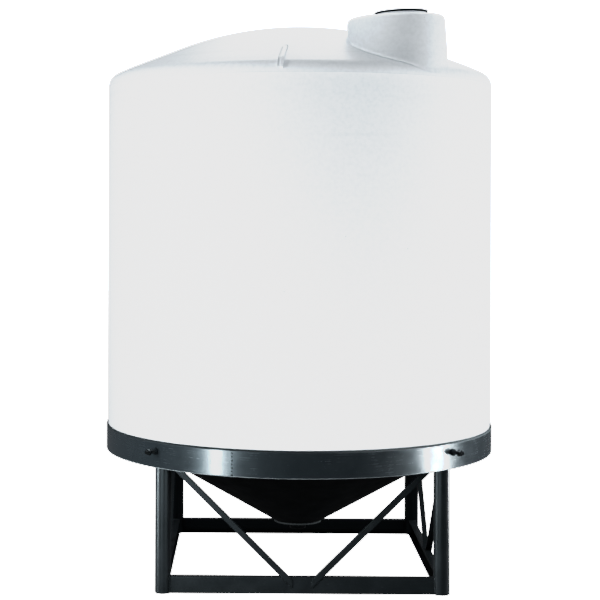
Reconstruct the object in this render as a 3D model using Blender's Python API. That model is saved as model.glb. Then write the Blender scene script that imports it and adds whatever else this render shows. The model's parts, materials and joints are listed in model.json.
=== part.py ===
"""Cone-bottom storage tank of moulded polyethylene in a welded steel stand.

Metres, +Z up. The origin is on the floor under the tank's centre line, and the front looks along -Y.
Azimuths are measured about that line, from the front towards +X.
"""
import math

import bmesh
import bpy
from mathutils import Matrix, Vector

for old in list(bpy.data.objects):
    bpy.data.objects.remove(old, do_unlink=True)

# Gap between touching pieces, and how finely round pieces are divided
GAP = 0.0003
ROUND_FACES = 64
OUTLET_FACES = 32
PIPE_FACES = 24
BOLT_FACES = 12
ON_AXIS = 1e-9
SMOOTH_ANGLE = math.radians(30.0)
CUT_MARGIN = 0.05

# Tank: a moulded shell of one wall thickness
TANK_RADIUS = 1.143
SHELL_THICKNESS = 0.010
WALL_TOP_Z = 2.853
SHOULDER_RADIUS = 0.080
SHOULDER_STEPS = 6
ROOF_SLOPE = math.radians(21.6)
CROWN_START_RADIUS = 0.740
CONE_SLOPE = math.radians(30.0)
TANK_CORNER_RADIUS = 0.030
SUMP_RADIUS = 0.124

# Manway neck: it stands at the front right and leans a little to the left
NECK_BASE = (0.526, -0.680, 2.980)
NECK_BASE_RADIUS = 0.276
NECK_TOP_RADIUS = 0.268
NECK_TOP_HEIGHT = 0.211
NECK_FOOT_DEPTH = 0.095
NECK_LEAN = math.radians(2.2)
NECK_EDGE_RADIUS = 0.022

# Threaded collar on the neck's top plate, and the screw lid over it, both off the neck's middle
COLLAR_OFFSET = 0.031
COLLAR_RADIUS = 0.140
COLLAR_BORE_RADIUS = 0.126
LID_RADIUS = 0.148
LID_CLEARANCE = 0.0015
LID_SKIRT_LOW = 0.023
LID_TOP = 0.036
LID_PLATE = 0.006
LID_EDGE = 0.003
COLLAR_HEIGHT = LID_TOP - LID_PLATE - GAP

# Lifting ribs at the front and the back, from the roof's slope down its shoulder, nearly to the wall
RIB_AZIMUTH = math.radians(-6.8)
RIB_INNER_RADIUS = 0.862
RIB_WIDTH = 0.034
RIB_HEIGHT = 0.015
RIB_RAMP = 0.030

# Ring band with its studs: a boss on the band, then the stud with a washer and a nut near its end
RING_RADIUS = 1.153
RING_THICKNESS = 0.0065
RING_BOTTOM_Z = 0.697
RING_HEIGHT = 0.149
RING_SEAM_AZIMUTH = math.radians(-21.5)
STUD_Z = 0.790
STUD_TURN = math.radians(0.5)
STUD_DIAMETER = 0.019
STUD_LENGTH = 0.075
BOSS_DIAMETER = 0.038
BOSS_LENGTH = 0.014
WASHER_DIAMETER = 0.037
WASHER_THICKNESS = 0.003
WASHER_DISTANCE = 0.044
NUT_WIDTH = 0.0286
NUT_HEIGHT = 0.016

# Support cone that carries the tank, and the band round its mouth
SUPPORT_APEX_Z = 0.170
SUPPORT_THICKNESS = 0.005
SUPPORT_EDGE_GAP = 0.0015
SUPPORT_MOUTH_RADIUS = 0.136
MOUTH_BAND_THICKNESS = 0.006
MOUTH_BAND_LOW_Z = 0.242

# Legs, floor beams and braces
LEG_SPACING = 1.540
LEG_DIAMETER = 0.0889
LEG_WALL = 0.0055
BEAM_HEIGHT = 0.092
BEAM_WIDTH = 0.045
BEAM_WALL = 0.006
BRACE_SIZE = 0.032
BRACE_WALL = 0.005
BRACE_RISE = 0.762
BRACE_FOOT_X = 0.056

# Bottom outlet: a flanged fitting with a threaded bore
OUTLET_FLANGE_RADIUS = 0.075
OUTLET_FLANGE_THICKNESS = 0.016
OUTLET_BODY_RADIUS = 0.048
OUTLET_BORE_RADIUS = 0.026
OUTLET_LOW_Z = 0.200
SUMP_HOLE_RADIUS = OUTLET_BORE_RADIUS + 0.004

UP = Vector((0.0, 0.0, 1.0))
HALF = LEG_SPACING / 2
LEG_RADIUS = LEG_DIAMETER / 2
RING_TOP_Z = RING_BOTTOM_Z + RING_HEIGHT
RING_INNER = RING_RADIUS - RING_THICKNESS
CONE_TAN = math.tan(CONE_SLOPE)
SUPPORT_RISE = SUPPORT_THICKNESS / math.cos(CONE_SLOPE)
TANK_CONE_APEX_Z = SUPPORT_APEX_Z + SUPPORT_RISE + GAP
SUMP_Z = TANK_CONE_APEX_Z + CONE_TAN * SUMP_RADIUS
CORNERS = {
    "front_left": (-1, -1),
    "front_right": (1, -1),
    "rear_left": (-1, 1),
    "rear_right": (1, 1),
}
SIDES = {
    "front": Vector((0.0, -1.0, 0.0)),
    "rear": Vector((0.0, 1.0, 0.0)),
    "left": Vector((-1.0, 0.0, 0.0)),
    "right": Vector((1.0, 0.0, 0.0)),
}


def material(name, colour, roughness, metallic=0.0):
    """Returns a Principled material."""
    mat = bpy.data.materials.new(name)
    mat.use_nodes = True
    shader = mat.node_tree.nodes["Principled BSDF"]
    shader.inputs["Base Color"].default_value = (*colour, 1.0)
    shader.inputs["Roughness"].default_value = roughness
    shader.inputs["Metallic"].default_value = metallic
    return mat


POLYETHYLENE = material("white_polyethylene", (0.80, 0.81, 0.83), 0.45)
BLACK_PLASTIC = material("black_plastic", (0.012, 0.012, 0.013), 0.40)
RING_PAINT = material("ring_paint", (0.035, 0.045, 0.050), 0.28)
STAND_PAINT = material("stand_paint", (0.030, 0.037, 0.042), 0.35)
CONE_PAINT = material("cone_paint", (0.006, 0.006, 0.007), 0.50)
ZINC = material("zinc_plated_steel", (0.35, 0.34, 0.30), 0.35, 1.0)


def loft(name, rings, mat=None, closed=False):
    """Joins rings of points, each to the next, into one solid, with its faces pointing out.

    A ring of one point is a pole. If closed is true the last ring joins the first; otherwise each end
    ring gets a flat face. An object without a material is a tool that only cuts others.
    """
    bm = bmesh.new()
    rows = [[bm.verts.new(point) for point in ring] for ring in rings]
    count = max(len(row) for row in rows)
    pairs = list(zip(rows, rows[1:]))
    if closed:
        pairs.append((rows[-1], rows[0]))
    for here, there in pairs:
        for i in range(count):
            j = (i + 1) % count
            corners = [here[i % len(here)], here[j % len(here)], there[j % len(there)], there[i % len(there)]]
            corners = list(dict.fromkeys(corners))
            if len(corners) > 2:
                bm.faces.new(corners)
    if not closed:
        for row in (rows[0], rows[-1]):
            if len(row) > 1:
                bm.faces.new(row)
    bmesh.ops.recalc_face_normals(bm, faces=bm.faces)
    mesh = bpy.data.meshes.new(name)
    bm.to_mesh(mesh)
    bm.free()
    obj = bpy.data.objects.new(name, mesh)
    bpy.context.scene.collection.objects.link(obj)
    if mat is None:
        obj.hide_render = True
        obj.display_type = "WIRE"
    else:
        mesh.materials.append(mat)
        mesh.shade_smooth()
        mesh.set_sharp_from_angle(angle=SMOOTH_ANGLE)
    return obj


def circle(radius, height, faces):
    """Points of a circle about +Z, or its centre alone where the radius is nothing."""
    if radius < ON_AXIS:
        return [(0.0, 0.0, height)]
    angles = [2 * math.pi * step / faces for step in range(faces)]
    return [(radius * math.sin(angle), -radius * math.cos(angle), height) for angle in angles]


def turned(name, section, mat=None, closed=True, faces=ROUND_FACES):
    """Turns a section of (radius, height) points about +Z."""
    return loft(name, [circle(radius, height, faces) for radius, height in section], mat, closed)


def turned_arc(name, section, mat, start, sweep, steps):
    """Turns a closed section of (radius, height) points through part of a turn, with flat ends."""
    rings = []
    for step in range(steps + 1):
        angle = start + sweep * step / steps
        rings.append([(r * math.sin(angle), -r * math.cos(angle), z) for r, z in section])
    return loft(name, rings, mat)


def prism(name, outline, across, up, start, run, mat=None):
    """Extrudes a closed outline of (across, up) points from a start point along a run."""
    near = [start + across * u + up * v for u, v in outline]
    return loft(name, [near, [point + run for point in near]], mat)


def arc_points(centre, radius, first, last, steps):
    """Points of an arc in the (radius, height) plane, angles from the +radius direction."""
    angles = [first + (last - first) * step / steps for step in range(steps + 1)]
    return [(centre[0] + radius * math.cos(a), centre[1] + radius * math.sin(a)) for a in angles]


def combine(obj, tool, operation):
    """Cuts a tool out of an object, or joins it on."""
    mod = obj.modifiers.new(operation.lower() + "_" + tool.name, "BOOLEAN")
    mod.operation = operation
    mod.solver = "EXACT"
    mod.object = tool


def build_wall():
    """Straight wall of the moulded shell, with the rounded corner where it turns into the cone."""
    corner_z = TANK_CONE_APEX_Z + CONE_TAN * TANK_RADIUS
    setback = TANK_CORNER_RADIUS * math.tan((math.pi / 2 - CONE_SLOPE) / 2)
    centre = (TANK_RADIUS - TANK_CORNER_RADIUS, corner_z + setback)
    tangent = CONE_SLOPE - math.pi / 2
    outer = arc_points(centre, TANK_CORNER_RADIUS, tangent, 0.0, 4)
    inner = arc_points(centre, TANK_CORNER_RADIUS - SHELL_THICKNESS, 0.0, tangent, 4)
    top = WALL_TOP_Z - GAP
    section = outer + [(TANK_RADIUS, top), (TANK_RADIUS - SHELL_THICKNESS, top)] + inner
    turned("tank_wall", section, POLYETHYLENE)
    return outer[0], inner[-1]


def build_cone(outer_end, inner_end):
    """Moulded cone from the wall's corner down to the flat sump that carries the outlet."""
    away_r, away_z = -math.cos(CONE_SLOPE) * GAP, -math.sin(CONE_SLOPE) * GAP
    inside_z = SUMP_Z + SHELL_THICKNESS
    section = [
        (outer_end[0] + away_r, outer_end[1] + away_z),
        (SUMP_RADIUS, SUMP_Z),
        (SUMP_HOLE_RADIUS, SUMP_Z),
        (SUMP_HOLE_RADIUS, inside_z),
        (SUMP_RADIUS + SHELL_THICKNESS * math.tan(CONE_SLOPE / 2), inside_z),
        (inner_end[0] + away_r, inner_end[1] + away_z),
    ]
    turned("tank_cone_bottom", section, POLYETHYLENE)


def roof_profile(inset):
    """Roof line from the wall's top to the crown, moved inwards by inset: shoulder arc, slope, crown arc."""
    shoulder_end = math.pi / 2 - ROOF_SLOPE
    shoulder = (TANK_RADIUS - SHOULDER_RADIUS, WALL_TOP_Z)
    points = arc_points(shoulder, SHOULDER_RADIUS - inset, 0.0, shoulder_end, SHOULDER_STEPS)
    end_r = shoulder[0] + SHOULDER_RADIUS * math.cos(shoulder_end)
    end_z = shoulder[1] + SHOULDER_RADIUS * math.sin(shoulder_end)
    crown_z = end_z + (end_r - CROWN_START_RADIUS) * math.tan(ROOF_SLOPE)
    crown_radius = CROWN_START_RADIUS / math.sin(ROOF_SLOPE)
    crown = (0.0, crown_z - crown_radius * math.cos(ROOF_SLOPE))
    return points + arc_points(crown, crown_radius - inset, shoulder_end, math.pi / 2, 8)


def neck_frame(offset=0.0):
    """Matrix from the neck's own leaning axes, about its base centre, to the tank's, with a step right."""
    lean = Matrix.Rotation(-NECK_LEAN, 4, "Y")
    return Matrix.Translation(NECK_BASE) @ lean @ Matrix.Translation((offset, 0.0, 0.0))


def neck_radius(height):
    """Outer radius of the neck at a height above its base: straight below the base, tapered above it."""
    slope = (NECK_TOP_RADIUS - NECK_BASE_RADIUS) / NECK_TOP_HEIGHT
    return NECK_BASE_RADIUS + slope * max(height, 0.0)


def build_roof():
    """Domed roof with its rounded shoulder, open where the neck stands."""
    inner = list(reversed(roof_profile(SHELL_THICKNESS)))
    roof = turned("tank_roof", roof_profile(0.0) + inner, POLYETHYLENE)
    low = -NECK_FOOT_DEPTH - GAP
    opening = [(0.0, low)]
    opening += [(neck_radius(height) + GAP, height) for height in (low, 0.0, NECK_TOP_HEIGHT)]
    opening += [(0.0, NECK_TOP_HEIGHT)]
    tool = turned("neck_opening", opening, closed=False)
    tool.matrix_world = neck_frame()
    combine(roof, tool, "DIFFERENCE")


def build_neck():
    """Tapered neck: its wall goes down into the roof's opening, and its top plate carries the collar."""
    edge_centre = (NECK_TOP_RADIUS - NECK_EDGE_RADIUS, NECK_TOP_HEIGHT - NECK_EDGE_RADIUS)
    inner_edge = NECK_EDGE_RADIUS - SHELL_THICKNESS
    low = -NECK_FOOT_DEPTH
    section = [(neck_radius(low), low), (neck_radius(0.0), 0.0)]
    section += arc_points(edge_centre, NECK_EDGE_RADIUS, 0.0, math.pi / 2, 4)
    section += [(0.0, NECK_TOP_HEIGHT), (0.0, NECK_TOP_HEIGHT - SHELL_THICKNESS)]
    section += arc_points(edge_centre, inner_edge, math.pi / 2, 0.0, 3)
    section += [(neck_radius(height) - SHELL_THICKNESS, height) for height in (0.0, low)]
    neck = turned("manway_neck", section, POLYETHYLENE)
    neck.matrix_world = neck_frame()
    collar = collar_cylinder("collar_body", COLLAR_RADIUS, -SHELL_THICKNESS / 2, COLLAR_HEIGHT)
    combine(neck, collar, "UNION")
    inside = roof_profile(SHELL_THICKNESS)
    floor_z = NECK_BASE[2] - NECK_FOOT_DEPTH - CUT_MARGIN
    below = turned("below_roof", [(0.0, floor_z), (inside[0][0], floor_z)] + inside, closed=False)
    combine(neck, below, "DIFFERENCE")
    bore = collar_cylinder("collar_bore", COLLAR_BORE_RADIUS, -CUT_MARGIN, COLLAR_HEIGHT + CUT_MARGIN)
    combine(neck, bore, "DIFFERENCE")


def collar_cylinder(name, radius, low, high):
    """Cylinder about the collar's axis, with its heights measured from the neck's top."""
    bottom, top = NECK_TOP_HEIGHT + low, NECK_TOP_HEIGHT + high
    tool = turned(name, [(0.0, bottom), (radius, bottom), (radius, top), (0.0, top)], closed=False)
    tool.matrix_world = neck_frame(COLLAR_OFFSET)
    return tool


def build_lid():
    """Screw lid: a plate with a skirt that goes down outside the collar."""
    skirt_inner = COLLAR_RADIUS + LID_CLEARANCE
    section = [
        (0.0, LID_TOP - LID_PLATE),
        (skirt_inner, LID_TOP - LID_PLATE),
        (skirt_inner, LID_SKIRT_LOW),
        (LID_RADIUS, LID_SKIRT_LOW),
        (LID_RADIUS, LID_TOP - LID_EDGE),
        (LID_RADIUS - LID_EDGE, LID_TOP),
        (0.0, LID_TOP),
    ]
    section = [(radius, NECK_TOP_HEIGHT + height) for radius, height in section]
    lid = turned("manway_lid", section, BLACK_PLASTIC, closed=False)
    lid.matrix_world = neck_frame(COLLAR_OFFSET)


def rib_line(height):
    """Line along a rib at a height over the roof: down the slope, then the shoulder, short of its end."""
    shoulder = list(reversed(roof_profile(-height)[1:SHOULDER_STEPS + 1]))
    slope_r, slope_z = shoulder[0]
    stations = (RIB_INNER_RADIUS, RIB_INNER_RADIUS + RIB_RAMP)
    return [(r, slope_z + (slope_r - r) * math.tan(ROOF_SLOPE)) for r in stations] + shoulder


def build_ribs():
    """Moulded lifting ribs of even height that follow the roof's slope and its shoulder."""
    low = rib_line(2 * GAP)
    high = rib_line(RIB_HEIGHT)[1:]
    for name, azimuth in (("lifting_rib_front", RIB_AZIMUTH), ("lifting_rib_rear", RIB_AZIMUTH + math.pi)):
        radial = Vector((math.sin(azimuth), -math.cos(azimuth), 0.0))
        side = Vector((math.cos(azimuth), math.sin(azimuth), 0.0))
        outline = low + list(reversed(high))
        prism(name, outline, radial, UP, -side * RIB_WIDTH / 2, side * RIB_WIDTH, POLYETHYLENE)


def build_outlet():
    """Bottom outlet: a flanged fitting under the sump with its threaded bore open."""
    top = SUMP_Z - GAP
    section = [
        (OUTLET_BORE_RADIUS, top),
        (OUTLET_BORE_RADIUS, OUTLET_LOW_Z),
        (OUTLET_BODY_RADIUS, OUTLET_LOW_Z),
        (OUTLET_BODY_RADIUS, top - OUTLET_FLANGE_THICKNESS),
        (OUTLET_FLANGE_RADIUS, top - OUTLET_FLANGE_THICKNESS),
        (OUTLET_FLANGE_RADIUS, top),
    ]
    turned("outlet_fitting", section, BLACK_PLASTIC, faces=OUTLET_FACES)


def build_ring():
    """Rolled ring band in two halves, butt welded at the seam and at its opposite."""
    section = [
        (RING_INNER, RING_BOTTOM_Z),
        (RING_RADIUS, RING_BOTTOM_Z),
        (RING_RADIUS, RING_TOP_Z),
        (RING_INNER, RING_TOP_Z),
    ]
    half_gap = GAP / 2 / RING_RADIUS
    halves = {"ring_band_right": RING_SEAM_AZIMUTH, "ring_band_left": RING_SEAM_AZIMUTH + math.pi}
    for name, seam in halves.items():
        turned_arc(name, section, RING_PAINT, seam + half_gap, math.pi - 2 * half_gap, ROUND_FACES // 2)


def build_support_cone():
    """Sheet steel cone that carries the tank, welded into the ring, with a flat band round its mouth."""
    outer_r = RING_INNER - SUPPORT_EDGE_GAP
    low_z = SUPPORT_APEX_Z + CONE_TAN * SUPPORT_MOUTH_RADIUS
    high_z = SUPPORT_APEX_Z + CONE_TAN * outer_r
    section = [
        (SUPPORT_MOUTH_RADIUS, low_z),
        (outer_r, high_z),
        (outer_r, high_z + SUPPORT_RISE),
        (SUPPORT_MOUTH_RADIUS, low_z + SUPPORT_RISE),
    ]
    turned("support_cone", section, CONE_PAINT)
    section = [
        (SUPPORT_MOUTH_RADIUS, MOUTH_BAND_LOW_Z),
        (SUPPORT_MOUTH_RADIUS + MOUTH_BAND_THICKNESS, MOUTH_BAND_LOW_Z),
        (SUPPORT_MOUTH_RADIUS + MOUTH_BAND_THICKNESS, low_z + CONE_TAN * MOUTH_BAND_THICKNESS - GAP),
        (SUPPORT_MOUTH_RADIUS, low_z - GAP),
    ]
    turned("support_cone_collar", section, CONE_PAINT)


def leg_top(x, y):
    """Height just under the support cone's flat facets over a point of the floor."""
    step = 2 * math.pi / ROUND_FACES
    off_middle = math.atan2(x, -y) % step - step / 2
    flat_radius = math.hypot(x, y) * math.cos(off_middle) / math.cos(step / 2)
    return SUPPORT_APEX_Z + CONE_TAN * flat_radius - GAP


def leg_circle(corner, radius):
    """Floor points of a circle about a leg's axis, with a flat facet towards each side of the stand."""
    x, y = corner[0] * HALF, corner[1] * HALF
    angles = [2 * math.pi * (step + 0.5) / PIPE_FACES for step in range(PIPE_FACES)]
    return [(x + radius * math.cos(a), y + radius * math.sin(a)) for a in angles]


def build_legs():
    """Pipe legs, coped at the top to the slope of the support cone. Returns a tool that clears each leg."""
    tools = {}
    for name, corner in CORNERS.items():
        outer, inner = leg_circle(corner, LEG_RADIUS), leg_circle(corner, LEG_RADIUS - LEG_WALL)
        rings = [
            [(x, y, 0.0) for x, y in outer],
            [(x, y, leg_top(x, y)) for x, y in outer],
            [(x, y, leg_top(x, y)) for x, y in inner],
            [(x, y, 0.0) for x, y in inner],
        ]
        loft("leg_" + name, rings, STAND_PAINT, closed=True)
        clear = leg_circle(corner, LEG_RADIUS + GAP)
        rings = [[(x, y, z) for x, y in clear] for z in (-CUT_MARGIN, RING_TOP_Z)]
        tools[corner] = loft("clear_of_leg_" + name, rings)
    return tools


def side_corner(outward, towards):
    """Signs of the corner that lies outward and towards one end of a side of the stand."""
    spot = outward + towards
    return round(spot.x), round(spot.y)


def build_beams(leg_tools):
    """Floor beams: channels on edge from leg to leg, coped to the pipes, with the web outwards.

    Returns for each side a tool that clears the beam.
    """
    half_w = BEAM_WIDTH / 2
    web = half_w - BEAM_WALL
    outline = [
        (half_w, 0.0),
        (half_w, BEAM_HEIGHT),
        (-half_w, BEAM_HEIGHT),
        (-half_w, BEAM_HEIGHT - BEAM_WALL),
        (web, BEAM_HEIGHT - BEAM_WALL),
        (web, BEAM_WALL),
        (-half_w, BEAM_WALL),
        (-half_w, 0.0),
    ]
    envelope = [
        (half_w + GAP, -CUT_MARGIN),
        (half_w + GAP, BEAM_HEIGHT + GAP),
        (-half_w - CUT_MARGIN, BEAM_HEIGHT + GAP),
        (-half_w - CUT_MARGIN, -CUT_MARGIN),
    ]
    tools = {}
    for side, outward in SIDES.items():
        along = UP.cross(outward)
        start = outward * HALF - along * HALF
        beam = prism("base_beam_" + side, outline, outward, UP, start, along * LEG_SPACING, STAND_PAINT)
        for towards in (-along, along):
            combine(beam, leg_tools[side_corner(outward, towards)], "DIFFERENCE")
        tools[side] = prism("clear_of_beam_" + side, envelope, outward, UP, start, along * LEG_SPACING)
    return tools


def build_braces(leg_tools, beam_tools):
    """Angle braces from each leg down to the middle of the beam.

    The flat flange laps on the beam's outer face and is cut plumb there. The other flange points inwards
    along the high edge and is coped over the beam.
    """
    half = BRACE_SIZE / 2
    face = HALF + BEAM_WIDTH / 2 + GAP
    section = [
        (-half, BRACE_WALL),
        (half, BRACE_WALL),
        (half, BRACE_WALL - BRACE_SIZE),
        (half - BRACE_WALL, BRACE_WALL - BRACE_SIZE),
        (half - BRACE_WALL, 0.0),
        (-half, 0.0),
    ]
    slope = math.atan2(BRACE_RISE, HALF)
    for side, outward in SIDES.items():
        along = UP.cross(outward)
        for towards in (-along, along):
            corner = side_corner(outward, towards)
            rings = []
            for reach in (BRACE_FOOT_X, HALF):
                ring = []
                for across, depth in section:
                    height = reach * math.tan(slope) + across / math.cos(slope)
                    ring.append(towards * reach + outward * (face + depth) + UP * height)
                rings.append(ring)
            if side in ("front", "rear"):
                end = "right" if corner[0] > 0 else "left"
            else:
                end = "rear" if corner[1] > 0 else "front"
            brace = loft("brace_" + side + "_" + end, rings, STAND_PAINT)
            combine(brace, leg_tools[corner], "DIFFERENCE")
            combine(brace, beam_tools[side], "DIFFERENCE")


def build_studs():
    """Studs in the ring at each leg: boss on the band, stud, and a washer and hexagon nut near its end."""
    washer_end = WASHER_DISTANCE + WASHER_THICKNESS
    nut_end = washer_end + NUT_HEIGHT
    nut_radius = NUT_WIDTH / 2 / math.cos(math.pi / 6)
    stations = [
        (GAP, BOSS_DIAMETER / 2, False),
        (BOSS_LENGTH, BOSS_DIAMETER / 2, False),
        (BOSS_LENGTH, STUD_DIAMETER / 2, False),
        (WASHER_DISTANCE, STUD_DIAMETER / 2, False),
        (WASHER_DISTANCE, WASHER_DIAMETER / 2, False),
        (washer_end, WASHER_DIAMETER / 2, False),
        (washer_end, nut_radius, True),
        (nut_end, nut_radius, True),
        (nut_end, STUD_DIAMETER / 2, False),
        (STUD_LENGTH, STUD_DIAMETER / 2, False),
    ]
    for name, corner in CORNERS.items():
        radial = Matrix.Rotation(STUD_TURN, 3, "Z") @ Vector((corner[0], corner[1], 0.0)).normalized()
        side = UP.cross(radial)
        rings = []
        for distance, radius, hexagonal in stations:
            centre = radial * (RING_RADIUS + distance) + UP * STUD_Z
            ring = []
            for step in range(BOLT_FACES):
                angle = 2 * math.pi * step / BOLT_FACES
                size = radius * math.cos(math.pi / 6) if hexagonal and step % 2 else radius
                ring.append(centre + side * (size * math.cos(angle)) + UP * (size * math.sin(angle)))
            rings.append(ring)
        loft("ring_bolt_" + name, rings, ZINC)


wall_outer_end, wall_inner_end = build_wall()
build_cone(wall_outer_end, wall_inner_end)
build_roof()
build_neck()
build_lid()
build_ribs()
build_outlet()
build_ring()
build_support_cone()
leg_clearances = build_legs()
beam_clearances = build_beams(leg_clearances)
build_braces(leg_clearances, beam_clearances)
build_studs()
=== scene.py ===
"""Looks of a cone-bottom polyethylene tank in its welded steel stand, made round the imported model.

Metres, +Z up; the front looks along -Y. Azimuths run about the centre line, from the front towards +X.
"""

import json
import math
from functools import partial

import bmesh
import bpy
import numpy as np
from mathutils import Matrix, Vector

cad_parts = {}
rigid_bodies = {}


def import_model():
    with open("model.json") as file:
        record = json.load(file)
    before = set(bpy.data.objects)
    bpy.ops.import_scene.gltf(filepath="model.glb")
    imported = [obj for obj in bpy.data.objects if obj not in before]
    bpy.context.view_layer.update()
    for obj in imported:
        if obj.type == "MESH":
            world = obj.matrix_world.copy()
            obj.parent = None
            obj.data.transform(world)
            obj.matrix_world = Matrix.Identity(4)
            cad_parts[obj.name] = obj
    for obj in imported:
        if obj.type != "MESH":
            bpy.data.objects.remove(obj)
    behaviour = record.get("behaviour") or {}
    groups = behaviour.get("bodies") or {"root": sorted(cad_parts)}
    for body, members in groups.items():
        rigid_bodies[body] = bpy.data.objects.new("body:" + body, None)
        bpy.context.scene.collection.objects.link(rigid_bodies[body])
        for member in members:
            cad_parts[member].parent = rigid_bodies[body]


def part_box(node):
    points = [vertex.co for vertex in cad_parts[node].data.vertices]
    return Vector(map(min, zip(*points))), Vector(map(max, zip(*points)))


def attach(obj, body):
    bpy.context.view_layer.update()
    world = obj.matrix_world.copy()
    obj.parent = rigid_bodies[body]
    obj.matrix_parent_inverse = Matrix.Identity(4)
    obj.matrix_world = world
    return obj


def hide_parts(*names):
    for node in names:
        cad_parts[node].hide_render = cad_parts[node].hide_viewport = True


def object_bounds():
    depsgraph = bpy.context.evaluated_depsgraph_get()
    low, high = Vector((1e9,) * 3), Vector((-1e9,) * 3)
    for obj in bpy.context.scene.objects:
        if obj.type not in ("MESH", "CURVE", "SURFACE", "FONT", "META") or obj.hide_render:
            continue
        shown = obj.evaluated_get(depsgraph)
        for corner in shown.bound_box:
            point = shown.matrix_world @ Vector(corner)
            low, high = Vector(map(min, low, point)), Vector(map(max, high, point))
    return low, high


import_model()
cad_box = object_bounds()


# Legs: 3.5 inch steel pipe, sawn square for the floor and coped at the top to the slope of the support cone.
# They are welded to it all round, and the whole stand is sprayed with one dark grey machinery enamel.
PIPE_FACETS = 24
PIPE_COLUMNS = 96
PIPE_WALL = 0.0055
PIPE_EDGE = 0.0012
CONE_SLOPE = math.radians(30.0)
CONE_TAN = math.tan(CONE_SLOPE)
MOUTH_RADIUS = 0.136
FIT_GAP = 0.0003
SHARP_ANGLE = math.radians(38.0)
MERGE_DISTANCE = 1e-7
# How far the borders wander, and the depths of the painted gap shadow under a bar's upper edge and of the
# painted highlight on its lower edge.
RIM_WANDER = 0.0080
GAP_SHADOW_FADE = (0.0080, 0.0060)
EDGE_HIGHLIGHT_FADE = (0.0085, 0.0065)
leg_low, leg_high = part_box("leg_front_right")
LEG_REACH = (leg_low.x + leg_high.x) / 2
PIPE_RADIUS = (leg_high.x - leg_low.x) / 2 / math.cos(math.pi / PIPE_FACETS)
cone_low, cone_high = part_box("support_cone")
CONE_APEX_Z = cone_low.z - CONE_TAN * MOUTH_RADIUS
CORNERS = {"front_left": (-1, -1), "front_right": (1, -1), "rear_left": (-1, 1), "rear_right": (1, 1)}


def to_linear(colour):
    """Linear RGBA from an sRGB hex colour."""
    parts = np.array([int(colour[i:i + 2], 16) for i in (1, 3, 5)]) / 255
    linear = np.where(parts <= 0.04045, parts / 12.92, ((parts + 0.055) / 1.055) ** 2.4)
    return (*linear.tolist(), 1.0)


def add_node(material, kind, settings=None, links=None, **properties):
    """Adds a shader node with its properties, its sockets' values and the nodes or outputs that feed them.

    Sockets go by name or number. A map range takes its limits from 1 to 2 and gives 3 to 4; a mix has its
    share at 0, its two numbers at 2 and 3, and its two colours at 6 and 7.
    """
    made = material.node_tree.nodes.new("ShaderNode" + kind)
    for name, value in properties.items():
        setattr(made, name, value)
    for socket, value in (settings or {}).items():
        made.inputs[socket].default_value = to_linear(value) if isinstance(value, str) else value
    for socket, source in (links or {}).items():
        if isinstance(source, bpy.types.Node):
            source = next(output for output in source.outputs if output.enabled)
        material.node_tree.links.new(source, made.inputs[socket])
    return made


def new_material(name, **settings):
    """A material with its Principled shader, whose sockets take the settings, and object coordinates."""
    material = bpy.data.materials.new(name)
    material.use_nodes = True
    shader = material.node_tree.nodes["Principled BSDF"]
    for socket, value in settings.items():
        shader.inputs[socket.replace("_", " ")].default_value = value
    return material, shader, add_node(material, "TexCoord").outputs["Object"]


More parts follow.
